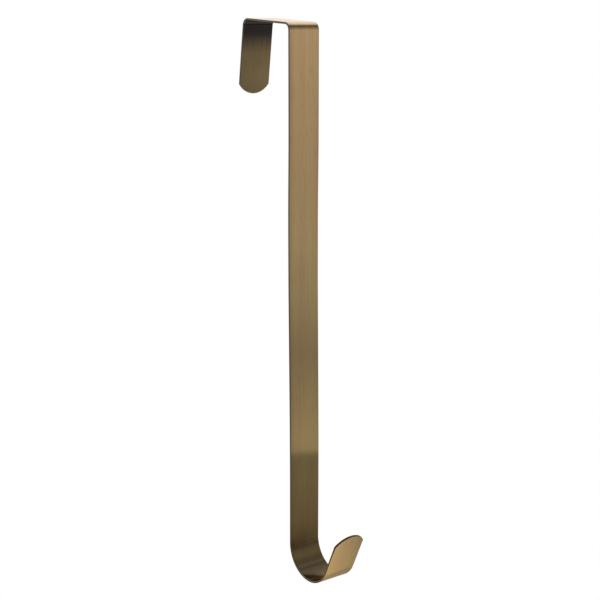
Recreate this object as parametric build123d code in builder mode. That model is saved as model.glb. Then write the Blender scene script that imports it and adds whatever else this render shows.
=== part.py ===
"""Over-door wreath hanger: one metal strip, folded over the top of a door and curled into a J hook.

Millimetres. The origin is the middle of the saddle plate's underside, where the hanger sits on the door.
+Z is up along the drop, -Y is the side of the door where the wreath hangs, and X runs across the strip.
"""
import os

from build123d import *

# Strip stock
strip_width = 25.0
strip_thickness = 1.5
edge_radius = 0.3  # the sheared edges are rounded over
end_rise = 6.8  # both ends are trimmed to an arc that rises this far above its corners
corner_radius = 2.0  # softens the corners where an end arc meets the strip's sides

# Saddle over the top of the door
door_gap = 51.5  # clear space along the saddle between the drop and the back leg
bend_radius = 4.0  # inside radius of the saddle's two folds
fold_angle = 86.2  # degrees that each fold turns through: both have sprung open a little from square
leg_length = 47.7  # from the fold to the crown of the rounded end

# Drop and hook
drop_length = 362.5  # straight run between the front fold and the J
hook_radius = 20.5  # inside radius of the J
hook_wrap = 154.5  # degrees that the strip turns through in the J
tip_length = 32.0  # from the end of the J to the crown of the rounded end

# Worked out from the sizes above
half_thickness = strip_thickness / 2
saddle_half = door_gap / 2 - bend_radius
fold_radius = bend_radius + half_thickness
saddle_tilt = 90 - fold_angle  # with the drop upright, the saddle rises by this towards the back leg
end_radius = (strip_width**2 / 4 + end_rise**2) / (2 * end_rise)
trim_allowance = strip_thickness  # length left past each crown until the ends are trimmed

side = Plane.YZ
across = Vector(1, 0, 0)
saddle_run = Vector(1, 0).rotate(Axis.Z, saddle_tilt)
saddle_middle = Vector(0, half_thickness).rotate(Axis.Z, saddle_tilt)


def end_plane(middle_line, length):
    """The strip's own plane at one end: origin at the end's crown, local y outwards along the strip."""
    outwards = side.from_local_coords(middle_line % 1)
    crown = side.from_local_coords(middle_line @ 0 + middle_line % 0 * length)
    return Plane(crown, x_dir=across, z_dir=across.cross(outwards))


with BuildPart() as hanger_strip:
    # Folded strip: its middle line from the side, given the strip's thickness and width
    with BuildSketch(side):
        with BuildLine():
            saddle = Line(saddle_middle - saddle_run * saddle_half, saddle_middle + saddle_run * saddle_half)
            back_fold = JernArc(saddle @ 1, saddle % 1, fold_radius, -fold_angle)
            back_leg = Line(back_fold @ 1, back_fold @ 1 + back_fold % 1 * (leg_length + trim_allowance))
            front_fold = JernArc(saddle @ 0, saddle % 0 * -1, fold_radius, fold_angle)
            drop = Line(front_fold @ 1, front_fold @ 1 + front_fold % 1 * drop_length)
            hook = JernArc(drop @ 1, drop % 1, hook_radius + half_thickness, -hook_wrap)
            hook_tip = Line(hook @ 1, hook @ 1 + hook % 1 * (tip_length + trim_allowance))
        trace(line_width=strip_thickness)
    extrude(amount=strip_width / 2, both=True)

    # Rounded ends: everything outside each end's arc is trimmed away
    for plane in (end_plane(back_leg, leg_length), end_plane(hook_tip, tip_length)):
        with BuildSketch(plane):
            with Locations((0, trim_allowance)):
                Rectangle(2 * end_radius, trim_allowance + end_radius, align=(Align.CENTER, Align.MAX))
            with Locations((0, -end_radius)):
                Circle(end_radius, mode=Mode.SUBTRACT)
        extrude(amount=strip_thickness, both=True, mode=Mode.SUBTRACT)

    # The corners of the end arcs, then the rim of both broad faces all the way round
    end_corners = hanger_strip.edges().filter_by(GeomType.LINE).group_by(SortBy.LENGTH)[0]
    fillet(end_corners, corner_radius)
    seams_across = hanger_strip.edges().filter_by(Axis.X)
    seams_through = hanger_strip.edges().filter_by(GeomType.LINE).group_by(SortBy.LENGTH)[0]
    fillet(hanger_strip.edges() - seams_across - seams_through, edge_radius)

hanger_strip.part.label = "hanger_strip"
os.makedirs("parts", exist_ok=True)
export_step(hanger_strip.part, "parts/hanger_strip.step")
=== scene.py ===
"""Wreath hanger: the looks of the brushed brass strip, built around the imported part.

Scene units are metres in the part's own frame: the origin is under the middle of the saddle plate, +Z is up
and -Y is the side where the wreath hangs. Sizes below are in millimetres unless they say otherwise.
"""
import math

import bpy
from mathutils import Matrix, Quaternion, Vector


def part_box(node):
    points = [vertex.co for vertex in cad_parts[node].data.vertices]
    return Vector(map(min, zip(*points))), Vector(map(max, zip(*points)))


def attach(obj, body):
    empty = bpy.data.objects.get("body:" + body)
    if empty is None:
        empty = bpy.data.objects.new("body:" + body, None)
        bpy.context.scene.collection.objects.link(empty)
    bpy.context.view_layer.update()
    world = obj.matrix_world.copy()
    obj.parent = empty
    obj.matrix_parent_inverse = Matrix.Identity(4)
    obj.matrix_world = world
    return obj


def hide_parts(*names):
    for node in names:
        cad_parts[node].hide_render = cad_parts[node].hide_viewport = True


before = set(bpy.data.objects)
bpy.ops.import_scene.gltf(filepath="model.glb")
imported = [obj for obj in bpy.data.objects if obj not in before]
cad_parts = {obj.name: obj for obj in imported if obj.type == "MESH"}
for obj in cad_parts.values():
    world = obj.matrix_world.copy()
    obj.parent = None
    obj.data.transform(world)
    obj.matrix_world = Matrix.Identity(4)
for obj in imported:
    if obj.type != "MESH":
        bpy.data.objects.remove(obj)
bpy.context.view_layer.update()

MM = 0.001

# Strip stock and folds, as the solid has them (fold_angle and hook_wrap in degrees)
strip_low, strip_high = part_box("hanger_strip")
strip_width = (strip_high.x - strip_low.x) / MM
strip_thickness = 1.5
rim_radius = 0.3
end_rise = 6.8
corner_radius = 2.0
door_gap = 51.5
bend_radius = 4.0
fold_angle = 86.2
leg_length = 47.7
drop_length = 362.5
hook_radius = 20.5
hook_wrap = 154.5
tip_length = 32.0

# Worked out from the sizes above
half_width = strip_width / 2
half_thickness = strip_thickness / 2
saddle_half = door_gap / 2 - bend_radius
fold_radius = bend_radius + half_thickness
saddle_tilt = 90 - fold_angle
hook_line_radius = hook_radius + half_thickness
end_radius = (half_width**2 + end_rise**2) / (2 * end_rise)

# The saddle lies this many degrees flatter than the solid's, turned about its front end
saddle_flat = 0.45
back_turn = fold_angle - saddle_flat
front_turn = fold_angle + saddle_flat

# The drop isn't dead straight: it leans a little and has sprung (stretches of length and turn; degrees)
drop_lean = 0.15
drop_spring = [(70, 0), (10, 0.7), (28, 0), (25, -0.85), (28, 0), (20, -0.55), (83, 0), (60, 0.85)]
drop_turned = drop_lean + sum(turn for length, turn in drop_spring)
hook_lift = 0.3  # the hook sits this much higher than the solid's
hook_closed = 0.8  # and is curled this many degrees further
drop_rest = drop_length - hook_lift - sum(length for length, turn in drop_spring)
hook_turn = hook_wrap + drop_turned + hook_closed

# Where each stretch starts along the flat blank, from the crown of the back leg
back_fold_at = leg_length
saddle_at = back_fold_at + fold_radius * math.radians(back_turn)
front_fold_at = saddle_at + 2 * saddle_half
drop_at = front_fold_at + fold_radius * math.radians(front_turn + drop_lean)
hook_at = drop_at + drop_length - hook_lift
tip_at = hook_at + hook_line_radius * math.radians(hook_turn)
blank_length = tip_at + tip_length

# Spacing of the strip's rows and of the points on its guide lines
row_spacing = 0.5
section_spacing = 6.0
rim_support = 0.25  # each broad face has points this far inside its rim
rim_turn = 18.0  # degrees from point to point round the rim
line_turn = 3.0  # the most degrees from point to point on a round stretch of the other guide lines
merge_gap = 0.001  # points closer than this are one

# Camera, fitted to the photograph (degrees and millimetres)
camera_lens = 76.0
camera_sensor = 36.0
camera_yaw = 37.178
camera_pitch = 12.427
camera_roll = -0.091
camera_distance = 880.9
camera_aim = (-4.05, -26.94, -188.98)

# Studio: the floor is at the foot of the door that the hanger would hang on
floor_depth = 2030.0
floor_forward = 1750.0
floor_radius = 2000.0
floor_sides = 96
floor_paint = "#F4E8CF"
floor_roughness = 0.9
lamp_height = 2500.0
lamp_size = 3000.0
lamp_power = 111.0  # watts

# Tints of the surround
plain_white = "#FFFFFF"
floor_warm = "#FAF2E2"
low_olive = "#FFFFF5"
wall_warm = "#FFF6EA"
window_cool = "#DCE8FF"

# Light of the surround by height (degrees, level, tint), in front of the door and behind it
surround_most = 2.0  # no level is higher than this
front_light = [
    (-24, 0.4, floor_warm),
    (-21, 0.55, low_olive),
    (-18, 0.5, low_olive),
    (-14, 0.35, plain_white),
    (-10, 0.55, plain_white),
    (-3, 0.6, plain_white),
    (0, 0.7, plain_white),
    (12, 0.5, plain_white),
    (40, 0.15, plain_white),
]
back_light = [
    (-60, 0.75, floor_warm),
    (-48, 0.5, floor_warm),
    (-10, 0.6, floor_warm),
    (5, 1.0, wall_warm),
    (25, 1.35, plain_white),
    (50, 1.8, window_cool),
    (70, 0.7, plain_white),
]

# Below this height (degrees) the surround in front is dimmer, with a crisp edge
low_edge = -19.14
low_edge_half = 0.12
low_share = 0.46

# The light in front gives way to the light behind between these directions (-1 is full front, 1 is full back)
behind_start = -0.4
behind_full = 0.15

# The surround's left is darker: the share of light there, and the directions it fades between (-1 is left)
left_share = 0.35
left_full = -0.6
left_end = -0.1

# Patterns of the finish: width across the strip, length along it, and how many finer layers the pattern has
streak_pattern = (9.0, 110.0, 2.0)
brush_pattern = (0.8, 80.0, 4.0)
mark_pattern = (0.9, 14.0, 1.0)

# Levels that the streaks and brush lines mostly stay between, and how light the brass is at each of the two
pattern_low = 0.3
pattern_high = 0.7
streak_shades = (1.05, 0.95)
brush_shades = (0.95, 1.04)

# The deepest of the fine marks are faint dark scratches: levels where one starts and is full, and its shade
scratch_start = 0.66
scratch_full = 0.76
scratch_shade = 0.85

# Near the saddle the fine marks also make the darkening and painted shade uneven: the levels of the marks,
# how
# # much darker or lighter they make it, and how far from the saddle's middle this starts to fade and ends
mark_low = 0.35
mark_high = 0.65
mark_depth = 0.2
mark_reach = 40.0
mark_end = 52.0

# Painted shade: the upper face is a little darker along its two edges, most on the left (-1 left or 1 right,
# how wide, share of light there)
painted_edge_shades = [(-1, 2.2, 0.86), (1, 1.5, 0.94)]

# Brass in two tones: the streaks lie between these levels, greyer at the first and warmer at the second
grey_brass = "#BDA370"
warm_brass = "#C6A174"
grey_level = 0.4
warm_level = 0.95
brass_sheen = "#F3E7D6"

# The upper face is warmer by this much down to the first of these lengths, which fades out at the second
warm_extra = 0.3
warm_start = drop_at + 60
warm_end = drop_at + 150

# Darkening, partly the finish's own and partly painted shade: its colour on the strip's upper and lower face
shade_and_dark_brown = "#362B1E"
shade_and_dark_grey = "#312B2B"

# Where it lies on each of these faces (length along the strip, and how dark at its left and right). It is
# painted
# # shade round the saddle's underside and the back leg's inner face, inside the hook and down the tip's right
# side
shade_and_dark_above = [
    (hook_at - 15, 0, 0),
    (hook_at, 0.5, 0.2),
    (hook_at + 5, 0.8, 0.8),
    (hook_at + 16, 0.2, 0.2),
    (hook_at + 21, 0.9, 0.9),
    (tip_at - 20, 0.8, 0.8),
    (tip_at + 10, 0, 0),
]
shade_and_dark_below = [
    (0, 0.5, 0.4),
    (12, 0.4, 0.2),
    (28, 0.4, 0.4),
    (42, 1, 1),
    (drop_at, 1, 1),
    (drop_at + 20, 0, 0),
    (tip_at - 20, 0, 0.3),
    (blank_length, 0.1, 0.6),
]

# Inside the hook the painted shade deepens from a sharp line at its start; this fades out towards its bottom
hook_shade_line = hook_at + 0.9
hook_shade_line_half = 0.3
hook_shade_share = 0.5
hook_shade_fade = 12.0

# The sheared rim is bare steel down to the hook, plated up the tip's sides and dark round the tip's end
plating_start = tip_at - 14
plating_full = tip_at - 6
rim_tones = [
    (front_fold_at, "#8E8A84"),
    (drop_at + 10, "#958C7C"),
    (plating_start, "#958C7C"),
    (plating_full, "#AC9262"),
    (tip_at + 18, "#BDA370"),
    (tip_at + 25, "#4A3A1E"),
]

# Where on the rim's rounding its own tone starts and is full (0 at the broad face, 1 at the sheared side)
rim_start = 0.05
rim_full = 0.45

# The upper face's finish gives way to the lower's over this much of the sheared side (-1 to 1 is all of it)
side_change = 0.5

# Gloss: roughness from the low to the high of the brush lines, and what the darkening and painted shade add
# above and below
brush_roughness = (0.07, 0.1)
dark_roughness = (0.22, 0.15)
brush_depth = 0.01
brush_strength = 0.3
lacquer_cover = 0.5
lacquer_roughness = 0.12

# Names of what the strip's mesh carries for its finish
LAYOUT = "flat_blank"
SIDE = "strip_side"
RIM = "sheared_rim"


def linear(hex_colour):
    """A linear RGBA colour from an sRGB hex value."""
    channels = [int(hex_colour[i:i + 2], 16) / 255 for i in (1, 3, 5)]
    return [c / 12.92 if c <= 0.04045 else ((c + 0.055) / 1.055) ** 2.4 for c in channels] + [1.0]


def add_node(tree, kind, inputs=None, stops=None, **settings):
    """Adds a node with its settings and a ramp's stops. Each input is a value or another node's output."""
    node = tree.nodes.new(kind)
    for name, value in settings.items():
        setattr(node, name, value)
    for socket, value in (inputs or {}).items():
        if isinstance(value, bpy.types.NodeSocket):
            tree.links.new(value, node.inputs[socket])
        else:
            node.inputs[socket].default_value = value
    if stops:
        elements = node.color_ramp.elements
        elements.remove(elements[1])
        elements[0].position = stops[0][0]
        for position, levels in stops[1:]:
            elements.new(position)
        for element, (position, levels) in zip(elements, stops):
            element.color = [*levels, 1.0]
    return node


def ramp_stops(rows):
    """The two ends of rows of (value, three levels), and the rows as a ramp's stops between those ends."""
    first, last = rows[0][0], rows[-1][0]
    return first, last, [((value - first) / (last - first), levels) for value, *levels in rows]


# Guide lines

def walk(start, heading, stretches, spacing, turn_step):
    """Points of a flat line from start, by stretches of (length, turn); turns and heading are in degrees."""
    points = [start]
    angle = math.radians(heading)
    for length, turn in stretches:
        steps = max(1, math.ceil(length / spacing), math.ceil(abs(turn) / turn_step))
        half_turn = math.radians(turn) / steps / 2
        chord = length / steps
        if half_turn:
            chord *= math.sin(half_turn) / half_turn
        for step in range(steps):
            angle += half_turn
            x, y = points[-1]
            points.append((x + chord * math.cos(angle), y + chord * math.sin(angle)))
            angle += half_turn
    return points


def arc(radius, turn):
    """A round stretch for walk."""
    return radius * math.radians(abs(turn)), turn


def fold_line():
    """The strip's middle line from the side, (y, z), from the back leg's crown to the hook tip's crown."""
    solid_tilt = math.radians(saddle_tilt)
    heading = saddle_tilt - saddle_flat
    tilt = math.radians(heading)
    middle = (saddle_half * (math.cos(tilt) - math.cos(solid_tilt)) - half_thickness * math.sin(solid_tilt),
              saddle_half * (math.sin(tilt) - math.sin(solid_tilt)) + half_thickness * math.cos(solid_tilt))
    back = [(saddle_half, 0), arc(fold_radius, -back_turn), (leg_length, 0)]
    front = [(saddle_half, 0), arc(fold_radius, front_turn + drop_lean), *drop_spring, (drop_rest, 0),
             arc(hook_line_radius, -hook_turn), (tip_length, 0)]
    back_points = walk(middle, heading, back, row_spacing, line_turn)
    front_points = walk(middle, 180 + heading, front, row_spacing, line_turn)
    return back_points[::-1] + front_points[1:]


def blank_edge():
    """One edge of the strip before it was folded, (x, length), from crown to crown by way of the side."""
    corner_x = half_width - corner_radius
    end_turn = math.degrees(math.asin(corner_x / (end_radius - corner_radius)))
    side_start = end_radius - math.sqrt((end_radius - corner_radius) ** 2 - corner_x**2)
    end = [arc(end_radius, end_turn), arc(corner_radius, 90 - end_turn)]
    side = (blank_length - 2 * side_start, 0)
    return walk((0.0, 0.0), 0, [*end, side, *end[::-1]], row_spacing, line_turn)


def strip_section():
    """The strip's own section, (x, z), once round from the middle of one sheared side."""
    rim = arc(rim_radius, 90)
    wall = (half_thickness - rim_radius, 0)
    face = [(rim_support, 0), (strip_width - 2 * rim_radius - 2 * rim_support, 0), (rim_support, 0)]
    round_trip = [wall, rim, *face, rim, wall, wall, rim, *face, rim, wall]
    return walk((half_width, 0.0), 90, round_trip, section_spacing, rim_turn)[:-1]


def guide_object(name, points, closed=False):
    """A line of points as an object that the strip's nodes can read."""
    edges = [(i, i + 1) for i in range(len(points) - 1)]
    if closed:
        edges.append((len(points) - 1, 0))
    mesh = bpy.data.meshes.new(name)
    mesh.from_pydata([Vector(p) * MM for p in points], edges, [])
    guide = bpy.data.objects.new(name, mesh)
    bpy.context.scene.collection.objects.link(guide)
    return guide


# Strip

def strip_nodes():
    """Node tree that runs the section round the flat blank's edge and folds the blank along its line."""
    tree = bpy.data.node_groups.new("folded_strip", "GeometryNodeTree")
    sockets = [("Fold Line", "Geometry"), ("Blank Edge", "Object"), ("Section", "Object"), ("Width", "Float"),
               ("Thickness", "Float"), ("Rim Radius", "Float"), ("Finish", "Material")]
    tree.interface.new_socket("Geometry", in_out="OUTPUT", socket_type="NodeSocketGeometry")
    for name, kind in sockets:
        tree.interface.new_socket(name, in_out="INPUT", socket_type="NodeSocket" + kind)
    given = add_node(tree, "NodeGroupInput").outputs
    position = add_node(tree, "GeometryNodeInputPosition").outputs[0]
    tangent = add_node(tree, "GeometryNodeInputTangent").outputs[0]
    index = add_node(tree, "GeometryNodeInputIndex").outputs[0]

    # One row of the grid for each point of the blank's edge, one column for each point of the section
    edge = add_node(tree, "GeometryNodeObjectInfo", {"Object": given["Blank Edge"]})
    edge = add_node(tree, "GeometryNodeMeshToCurve", {"Mesh": edge.outputs["Geometry"]}).outputs[0]
    section = add_node(tree, "GeometryNodeObjectInfo", {"Object": given["Section"]}).outputs["Geometry"]
    rows = add_node(tree, "GeometryNodeAttributeDomainSize", {"Geometry": edge}, component="CURVE")
    sides = add_node(tree, "GeometryNodeAttributeDomainSize", {"Geometry": section}, component="MESH")
    sides = sides.outputs["Point Count"]
    columns = add_node(tree, "FunctionNodeIntegerMath", {0: sides, 1: 1}, operation="ADD").outputs[0]
    grid = add_node(tree, "GeometryNodeMeshGrid",
                    {"Vertices X": rows.outputs["Point Count"], "Vertices Y": columns}).outputs["Mesh"]
    row = add_node(tree, "FunctionNodeIntegerMath", {0: index, 1: columns},
                   operation="DIVIDE_FLOOR").outputs[0]
    column = add_node(tree, "FunctionNodeIntegerMath", {0: index, 1: columns}, operation="MODULO").outputs[0]
    column = add_node(tree, "FunctionNodeIntegerMath", {0: column, 1: sides}, operation="MODULO").outputs[0]

    # The row's edge point on the blank, which way the edge runs there, and the column's section point
    sampled = []
    for line, value, number in ((edge, position, row), (edge, tangent, row), (section, position, column)):
        point = add_node(tree, "GeometryNodeSampleIndex", {"Geometry": line, "Value": value, "Index": number},
                         data_type="FLOAT_VECTOR").outputs[0]
        sampled.append(add_node(tree, "ShaderNodeSeparateXYZ", {0: point}).outputs)
    edge_point, edge_run, section_point = sampled
    height = section_point["Y"]

    # The section point's inset from the edge, and its share of the way to the edge
    reach = add_node(tree, "ShaderNodeMath", {0: given["Width"], 1: 0.5}, operation="MULTIPLY").outputs[0]
    from_middle = add_node(tree, "ShaderNodeMath", {0: section_point["X"]}, operation="ABSOLUTE").outputs[0]
    inset = add_node(tree, "ShaderNodeMath", {0: reach, 1: from_middle}, operation="SUBTRACT").outputs[0]
    inset = add_node(tree, "ShaderNodeMath", {0: inset, 1: given["Rim Radius"]},
                     operation="MINIMUM").outputs[0]
    flat_reach = add_node(tree, "ShaderNodeMath", {0: reach, 1: inset}, operation="SUBTRACT").outputs[0]
    share = add_node(tree, "ShaderNodeMath", {0: section_point["X"], 1: flat_reach},
                     operation="DIVIDE").outputs[0]

    # The point on the flat blank: across it, and along it
    inwards = add_node(tree, "ShaderNodeMath", {0: edge_run["Y"], 1: inset}, operation="MULTIPLY").outputs[0]
    across = add_node(tree, "ShaderNodeMath", {0: edge_point["X"], 1: inwards},
                      operation="SUBTRACT").outputs[0]
    across = add_node(tree, "ShaderNodeMath", {0: across, 1: 0.0}, operation="MAXIMUM").outputs[0]
    across = add_node(tree, "ShaderNodeMath", {0: across, 1: share}, operation="MULTIPLY").outputs[0]
    along = add_node(tree, "ShaderNodeMath", {0: edge_run["X"], 1: inset, 2: edge_point["Y"]},
                     operation="MULTIPLY_ADD").outputs[0]

    # The same point once the blank is folded
    fold = add_node(tree, "GeometryNodeMeshToCurve", {"Mesh": given["Fold Line"]}).outputs[0]
    fold = add_node(tree, "GeometryNodeSampleCurve", {"Curves": fold, "Length": along},
                    mode="LENGTH", use_all_curves=True).outputs
    strip_normal = add_node(tree, "ShaderNodeVectorMath", {0: (1.0, 0.0, 0.0), 1: fold["Tangent"]},
                            operation="CROSS_PRODUCT").outputs[0]
    raised = add_node(tree, "ShaderNodeVectorMath", {0: strip_normal, "Scale": height},
                      operation="SCALE").outputs[0]
    beside = add_node(tree, "ShaderNodeCombineXYZ", {"X": across}).outputs[0]
    place = add_node(tree, "ShaderNodeVectorMath", {0: fold["Position"], 1: raised},
                     operation="ADD").outputs[0]
    place = add_node(tree, "ShaderNodeVectorMath", {0: place, 1: beside}, operation="ADD").outputs[0]

    # What the finish reads: the flat blank's layout, which side of the strip it is, and the sheared rim
    half = add_node(tree, "ShaderNodeMath", {0: given["Thickness"], 1: 0.5}, operation="MULTIPLY").outputs[0]
    side = add_node(tree, "ShaderNodeMath", {0: height, 1: half}, operation="DIVIDE").outputs[0]
    round_edge = add_node(tree, "ShaderNodeMath", {0: half, 1: height}, operation="SUBTRACT").outputs[0]
    layout_x = add_node(tree, "ShaderNodeMath", {0: share, 1: round_edge, 2: across},
                        operation="MULTIPLY_ADD").outputs[0]
    layout = add_node(tree, "ShaderNodeCombineXYZ", {"X": layout_x, "Y": along}).outputs[0]
    layout = add_node(tree, "GeometryNodeFieldOnDomain", {0: layout}, data_type="FLOAT_VECTOR",
                      domain="POINT").outputs[0]
    rim = add_node(tree, "ShaderNodeMapRange", {"Value": inset, "From Max": given["Rim Radius"],
                                                "To Min": 1.0, "To Max": 0.0}).outputs[0]
    mesh = grid
    for name, value, kind, domain in ((LAYOUT, layout, "FLOAT2", "CORNER"), (SIDE, side, "FLOAT", "POINT"),
                                      (RIM, rim, "FLOAT", "POINT")):
        mesh = add_node(tree, "GeometryNodeStoreNamedAttribute",
                        {"Geometry": mesh, "Name": name, "Value": value},
                        data_type=kind, domain=domain).outputs[0]

    # Shape, closed seams, smooth shading and finish
    mesh = add_node(tree, "GeometryNodeSetPosition", {"Geometry": mesh, "Position": place}).outputs[0]
    mesh = add_node(tree, "GeometryNodeMergeByDistance",
                    {"Geometry": mesh, "Distance": merge_gap * MM}).outputs[0]
    mesh = add_node(tree, "GeometryNodeSetShadeSmooth", {"Geometry": mesh}).outputs[0]
    mesh = add_node(tree, "GeometryNodeRealizeInstances", {"Geometry": mesh}).outputs[0]
    mesh = add_node(tree, "GeometryNodeSetMaterial",
                    {"Geometry": mesh, "Material": given["Finish"]}).outputs[0]
    add_node(tree, "NodeGroupOutput", {0: mesh})
    return tree


def brass_strip(finish):
    """The whole hanger: one flat blank with rounded ends, folded over the door and curled into the hook."""
    strip = guide_object("brass_strip", [(0.0, y, z) for y, z in fold_line()])
    edge = guide_object("blank_edge", [(x, length, 0.0) for x, length in blank_edge()])
    section = guide_object("strip_section", [(x, z, 0.0) for x, z in strip_section()], closed=True)
    modifier = strip.modifiers.new("folded_strip", "NODES")
    modifier.node_group = strip_nodes()
    given = {"Blank Edge": edge, "Section": section, "Width": strip_width * MM,
             "Thickness": strip_thickness * MM, "Rim Radius": rim_radius * MM, "Finish": finish}
    for socket in modifier.node_group.interface.items_tree:
        if socket.name in given:
            modifier[socket.identifier] = given[socket.name]
    graph = bpy.context.evaluated_depsgraph_get()
    evaluated = strip.evaluated_get(graph)
    mesh = bpy.data.meshes.new_from_object(evaluated, preserve_all_data_layers=True, depsgraph=graph)
    strip.modifiers.clear()
    strip.data = mesh
    for guide in (edge, section):
        bpy.data.objects.remove(guide)
    return strip


# Finishes

def lengthwise_patterns(tree, layout):
    """Streaks of tone, brush lines and fine marks along the strip.

    The brush lines and the marks are drawn wider than the real ones so that they show.
    """
    patterns = []
    for width, length, layers in (streak_pattern, brush_pattern, mark_pattern):
        scale = (1 / (width * MM), 1 / (length * MM), 1.0)
        pattern = add_node(tree, "ShaderNodeMapping", {"Vector": layout, "Scale": scale}).outputs[0]
        pattern = add_node(tree, "ShaderNodeTexNoise", {"Vector": pattern, "Scale": 1.0, "Detail": layers},
                           noise_dimensions="2D").outputs["Fac"]
        patterns.append(pattern)
    return patterns


def shade_and_darkening(tree, across, along, marks):
    """How dark the strip's upper face and its lower face are, from darkening and painted shade."""
    to_right = add_node(tree, "ShaderNodeMapRange", {"Value": across, "From Min": -half_width * MM,
                                                     "From Max": half_width * MM}).outputs[0]
    faces = []
    for patches in (shade_and_dark_above, shade_and_dark_below):
        first, last, stops = ramp_stops([(length, left, right, 0.0) for length, left, right in patches])
        share = add_node(tree, "ShaderNodeMapRange",
                         {"Value": along, "From Min": first * MM, "From Max": last * MM}).outputs[0]
        patch = add_node(tree, "ShaderNodeValToRGB", {"Fac": share}, stops).outputs["Color"]
        left, right = add_node(tree, "ShaderNodeSeparateColor", {0: patch}).outputs[:2]
        faces.append(add_node(tree, "ShaderNodeMix", {0: to_right, 2: left, 3: right}).outputs[0])
    upper, lower = faces

    # The sharp line at the hook's start, from which the painted shade inside the hook deepens
    before = add_node(tree, "ShaderNodeMapRange",
                      {"Value": along, "From Min": (hook_shade_line - hook_shade_line_half) * MM,
                       "From Max": (hook_shade_line + hook_shade_line_half) * MM, "To Min": 1.0, "To Max": 0.0}).outputs[0]
    light_kept = add_node(tree, "ShaderNodeMapRange",
                   {"Value": along, "From Min": hook_shade_line * MM, "From Max": (hook_shade_line + hook_shade_fade) * MM,
                    "To Min": hook_shade_share}).outputs[0]
    light_kept = add_node(tree, "ShaderNodeMath", {0: before, 1: light_kept}, operation="MAXIMUM").outputs[0]
    lightness = add_node(tree, "ShaderNodeMath", {0: 1.0, 1: upper}, operation="SUBTRACT").outputs[0]
    lightness = add_node(tree, "ShaderNodeMath", {0: lightness, 1: light_kept}, operation="MULTIPLY").outputs[0]
    upper = add_node(tree, "ShaderNodeMath", {0: 1.0, 1: lightness}, operation="SUBTRACT").outputs[0]

    # Fine marks near the saddle, strongest where the lower face is half dark
    uneven = add_node(tree, "ShaderNodeMapRange",
                      {"Value": marks, "From Min": mark_low, "From Max": mark_high,
                       "To Min": -mark_depth, "To Max": mark_depth}).outputs[0]
    from_saddle = add_node(tree, "ShaderNodeMath", {0: along, 1: (saddle_at + saddle_half) * MM},
                           operation="SUBTRACT").outputs[0]
    from_saddle = add_node(tree, "ShaderNodeMath", {0: from_saddle}, operation="ABSOLUTE").outputs[0]
    near_saddle = add_node(tree, "ShaderNodeMapRange",
                           {"Value": from_saddle, "From Min": mark_reach * MM, "From Max": mark_end * MM,
                            "To Min": 1.0, "To Max": 0.0}).outputs[0]
    uneven = add_node(tree, "ShaderNodeMath", {0: uneven, 1: near_saddle}, operation="MULTIPLY").outputs[0]
    half_dark = add_node(tree, "ShaderNodeMath", {0: 1.0, 1: lower}, operation="SUBTRACT").outputs[0]
    half_dark = add_node(tree, "ShaderNodeMath", {0: half_dark, 1: lower},
                           operation="MULTIPLY").outputs[0]
    lower = add_node(tree, "ShaderNodeMath", {0: uneven, 1: half_dark, 2: lower},
                     operation="MULTIPLY_ADD").outputs[0]
    return upper, lower


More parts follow.
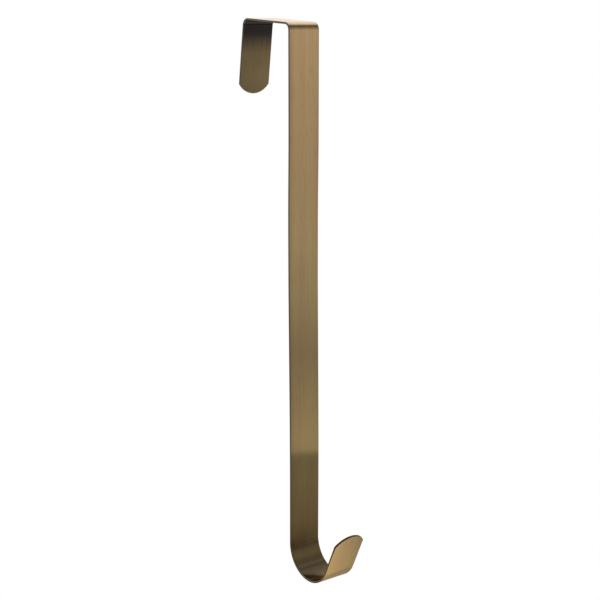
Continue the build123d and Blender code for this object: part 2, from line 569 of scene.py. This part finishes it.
def brushed_antique_brass():
    """Brass-plated steel strip, brushed lengthwise, darkened, rubbed back and lacquered.

    To the eye: a warm, slightly grey gold whose reflections are drawn out across the strip but stay crisp
    along it, with soft lengthwise streaks, and near-black where darkening and painted shade lie.
    """
    material = bpy.data.materials.new("brushed_antique_brass")
    material.use_nodes = True
    tree = material.node_tree
    tree.nodes.clear()
    layout = add_node(tree, "ShaderNodeUVMap", uv_map=LAYOUT).outputs["UV"]
    place = add_node(tree, "ShaderNodeSeparateXYZ", {0: layout}).outputs
    across, along = place["X"], place["Y"]
    side = add_node(tree, "ShaderNodeAttribute", attribute_name=SIDE).outputs["Fac"]
    rim = add_node(tree, "ShaderNodeAttribute", attribute_name=RIM).outputs["Fac"]
    streaks, brushing, marks = lengthwise_patterns(tree, layout)
    upper_shade_and_dark, lower_shade_and_dark = shade_and_darkening(tree, across, along, marks)
    below = add_node(tree, "ShaderNodeMapRange",
                     {"Value": side, "From Min": -side_change, "From Max": side_change}).outputs[0]
    dark = add_node(tree, "ShaderNodeMix", {0: below, 2: upper_shade_and_dark, 3: lower_shade_and_dark}).outputs[0]
    bare = add_node(tree, "ShaderNodeMapRange",
                    {"Value": rim, "From Min": rim_start, "From Max": rim_full}).outputs[0]

    # Two tones of brass in streaks
    warm = add_node(tree, "ShaderNodeMapRange",
                    {"Value": along, "From Min": warm_end * MM, "From Max": warm_start * MM,
                     "To Max": warm_extra}).outputs[0]
    warm = add_node(tree, "ShaderNodeMix", {0: below, 2: warm, 3: 0.0}).outputs[0]
    warm = add_node(tree, "ShaderNodeMath", {0: warm, 1: streaks}, operation="ADD").outputs[0]
    warm = add_node(tree, "ShaderNodeMapRange",
                    {"Value": warm, "From Min": grey_level, "From Max": warm_level}).outputs[0]
    brass = add_node(tree, "ShaderNodeMix", {0: warm, 6: linear(grey_brass), 7: linear(warm_brass)},
                     data_type="RGBA").outputs[2]

    # Shaded by the brush lines, the streaks and the scratches, and by painted shade along the upper face's
    # edges
    shade = add_node(tree, "ShaderNodeMapRange",
                     {"Value": brushing, "From Min": pattern_low, "From Max": pattern_high,
                      "To Min": brush_shades[0], "To Max": brush_shades[1]}).outputs[0]
    broad = add_node(tree, "ShaderNodeMapRange",
                     {"Value": streaks, "From Min": pattern_low, "From Max": pattern_high,
                      "To Min": streak_shades[0], "To Max": streak_shades[1]}).outputs[0]
    shade = add_node(tree, "ShaderNodeMath", {0: shade, 1: broad}, operation="MULTIPLY").outputs[0]
    scratch = add_node(tree, "ShaderNodeMapRange",
                       {"Value": marks, "From Min": scratch_start, "From Max": scratch_full,
                        "To Min": 1.0, "To Max": scratch_shade}).outputs[0]
    shade = add_node(tree, "ShaderNodeMath", {0: shade, 1: scratch}, operation="MULTIPLY").outputs[0]
    for edge, reach, kept in painted_edge_shades:
        painted_edge_shade = add_node(tree, "ShaderNodeMapRange",
                              {"Value": across, "From Min": edge * half_width * MM,
                               "From Max": edge * (half_width - reach) * MM, "To Min": kept}).outputs[0]
        painted_edge_shade = add_node(tree, "ShaderNodeMix", {0: below, 2: painted_edge_shade, 3: 1.0}).outputs[0]
        shade = add_node(tree, "ShaderNodeMath", {0: shade, 1: painted_edge_shade}, operation="MULTIPLY").outputs[0]
    brass = add_node(tree, "ShaderNodeVectorMath", {0: brass, "Scale": shade}, operation="SCALE").outputs[0]

    # Over the brass the darkening and painted shade, and round it the rim's own tones
    shade_and_dark_colour = add_node(tree, "ShaderNodeMix", {0: below, 6: linear(shade_and_dark_brown), 7: linear(shade_and_dark_grey)},
                        data_type="RGBA").outputs[2]
    colour = add_node(tree, "ShaderNodeMix", {0: dark, 6: brass, 7: shade_and_dark_colour}, data_type="RGBA").outputs[2]
    first, last, stops = ramp_stops([(length, *linear(tone)[:3]) for length, tone in rim_tones])
    share = add_node(tree, "ShaderNodeMapRange",
                     {"Value": along, "From Min": first * MM, "From Max": last * MM}).outputs[0]
    rim_tone = add_node(tree, "ShaderNodeValToRGB", {"Fac": share}, stops).outputs["Color"]
    colour = add_node(tree, "ShaderNodeMix", {0: bare, 6: colour, 7: rim_tone}, data_type="RGBA").outputs[2]

    # Gloss: satin along the brush lines, duller where it is dark
    gloss = add_node(tree, "ShaderNodeMapRange",
                     {"Value": brushing, "From Min": pattern_low, "From Max": pattern_high,
                      "To Min": brush_roughness[0], "To Max": brush_roughness[1]}).outputs[0]
    dull = add_node(tree, "ShaderNodeMix", {0: below, 2: dark_roughness[0], 3: dark_roughness[1]}).outputs[0]
    gloss = add_node(tree, "ShaderNodeMath", {0: dark, 1: dull, 2: gloss},
                     operation="MULTIPLY_ADD").outputs[0]

    # Lacquer: thinner where the upper face is dark, and none on the tip's rim
    lacquer = add_node(tree, "ShaderNodeMapRange",
                       {"Value": upper_shade_and_dark, "To Min": lacquer_cover, "To Max": 0.0}).outputs[0]
    unlacquered = add_node(tree, "ShaderNodeMapRange", {"Value": along, "From Min": plating_start * MM,
                                                        "From Max": plating_full * MM}).outputs[0]
    unlacquered = add_node(tree, "ShaderNodeMath", {0: bare, 1: unlacquered}, operation="MULTIPLY").outputs[0]
    lacquer = add_node(tree, "ShaderNodeMix", {0: unlacquered, 2: lacquer, 3: 0.0}).outputs[0]

    grain = add_node(tree, "ShaderNodeBump", {"Height": brushing, "Strength": brush_strength,
                                              "Distance": brush_depth * MM}).outputs[0]
    spread = add_node(tree, "ShaderNodeTangent", direction_type="UV_MAP", uv_map=LAYOUT).outputs["Tangent"]
    shader = add_node(tree, "ShaderNodeBsdfPrincipled",
                      {"Base Color": colour, "Metallic": 1.0, "Roughness": gloss, "Anisotropic": 1.0,
                       "Specular Tint": linear(brass_sheen), "Tangent": spread, "Normal": grain,
                       "Coat Weight": lacquer, "Coat Roughness": lacquer_roughness})
    add_node(tree, "ShaderNodeOutputMaterial", {"Surface": shader.outputs["BSDF"]})
    return material


def pale_floor_paint():
    """Matt near-white paint: an even pale ground."""
    material = bpy.data.materials.new("pale_floor_paint")
    material.use_nodes = True
    shader = material.node_tree.nodes["Principled BSDF"]
    shader.inputs["Base Color"].default_value = linear(floor_paint)
    shader.inputs["Roughness"].default_value = floor_roughness
    return material


# Studio

def pale_floor():
    """A round pale floor, far enough below to stay soft in the metal."""
    turns = [2 * math.pi * step / floor_sides for step in range(floor_sides)]
    rim = [(floor_radius * MM * math.cos(turn), (floor_radius * math.sin(turn) - floor_forward) * MM,
            -floor_depth * MM) for turn in turns]
    mesh = bpy.data.meshes.new("pale_floor")
    mesh.from_pydata(rim, [], [range(floor_sides)])
    mesh.materials.append(pale_floor_paint())
    floor = bpy.data.objects.new("pale_floor", mesh)
    bpy.context.scene.collection.objects.link(floor)


def studio_surround():
    """Soft light from all round, graded by height, brighter behind the door; the camera sees plain white."""
    world = bpy.data.worlds.new("studio_surround")
    world.use_nodes = True
    bpy.context.scene.world = world
    tree = world.node_tree
    tree.nodes.clear()
    direction = add_node(tree, "ShaderNodeTexCoord").outputs["Generated"]
    direction = add_node(tree, "ShaderNodeSeparateXYZ", {0: direction}).outputs
    height = add_node(tree, "ShaderNodeMath", {0: direction["Z"]}, operation="ARCSINE").outputs[0]

    # The two lights, graded by height
    lights = []
    for profile in (front_light, back_light):
        rows = [(degrees, *[level / surround_most * channel for channel in linear(tint)[:3]])
                for degrees, level, tint in profile]
        lowest, highest, stops = ramp_stops(rows)
        share = add_node(tree, "ShaderNodeMapRange", {"Value": height, "From Min": math.radians(lowest),
                                                      "From Max": math.radians(highest)}).outputs[0]
        lights.append(add_node(tree, "ShaderNodeValToRGB", {"Fac": share}, stops).outputs["Color"])
    front, back = lights

    # Dimmer below the low edge in front, joined to the light behind, and darker on the left
    low = add_node(tree, "ShaderNodeMapRange",
                   {"Value": height, "From Min": math.radians(low_edge - low_edge_half),
                    "From Max": math.radians(low_edge + low_edge_half), "To Min": low_share}).outputs[0]
    front = add_node(tree, "ShaderNodeVectorMath", {0: front, "Scale": low}, operation="SCALE").outputs[0]
    behind = add_node(tree, "ShaderNodeMapRange",
                      {"Value": direction["Y"], "From Min": behind_start, "From Max": behind_full},
                      interpolation_type="SMOOTHSTEP").outputs[0]
    light = add_node(tree, "ShaderNodeMix", {0: behind, 6: front, 7: back}, data_type="RGBA").outputs[2]
    left = add_node(tree, "ShaderNodeMapRange", {"Value": direction["X"], "From Min": left_full,
                                                 "From Max": left_end, "To Min": left_share}).outputs[0]
    light = add_node(tree, "ShaderNodeVectorMath", {0: light, "Scale": left}, operation="SCALE").outputs[0]

    studio = add_node(tree, "ShaderNodeBackground", {"Color": light, "Strength": surround_most}).outputs[0]
    plain = add_node(tree, "ShaderNodeBackground", {"Color": linear(plain_white), "Strength": 1.0}).outputs[0]
    seen = add_node(tree, "ShaderNodeLightPath").outputs["Is Camera Ray"]
    surround = add_node(tree, "ShaderNodeMixShader", {0: seen, 1: studio, 2: plain}).outputs[0]
    add_node(tree, "ShaderNodeOutputWorld", {"Surface": surround})
    bpy.context.scene.view_settings.view_transform = "Standard"


def floor_lamp():
    """A large soft lamp that keeps the floor pale; the metal doesn't mirror it."""
    data = bpy.data.lights.new("floor_lamp", "AREA")
    data.size = lamp_size * MM
    data.energy = lamp_power
    lamp = bpy.data.objects.new("floor_lamp", data)
    lamp.location = (0.0, 0.0, lamp_height * MM)
    lamp.visible_glossy = False
    lamp.visible_camera = False
    bpy.context.scene.collection.objects.link(lamp)


def studio_camera():
    """A long lens at the photograph's viewing angle."""
    yaw, pitch = math.radians(camera_yaw), math.radians(camera_pitch)
    ahead = Vector((math.sin(yaw) * math.cos(pitch), math.cos(yaw) * math.cos(pitch), -math.sin(pitch)))
    data = bpy.data.cameras.new("camera")
    data.lens = camera_lens
    data.sensor_width = camera_sensor
    camera = bpy.data.objects.new("camera", data)
    camera.location = (Vector(camera_aim) - ahead * camera_distance) * MM
    camera.rotation_mode = "QUATERNION"
    level = ahead.to_track_quat("-Z", "Y")
    camera.rotation_quaternion = level @ Quaternion((0, 0, 1), math.radians(camera_roll))
    bpy.context.scene.collection.objects.link(camera)
    bpy.context.scene.camera = camera


strip = brass_strip(brushed_antique_brass())
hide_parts("hanger_strip")
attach(strip, "root")
pale_floor()
floor_lamp()
studio_surround()
studio_camera()
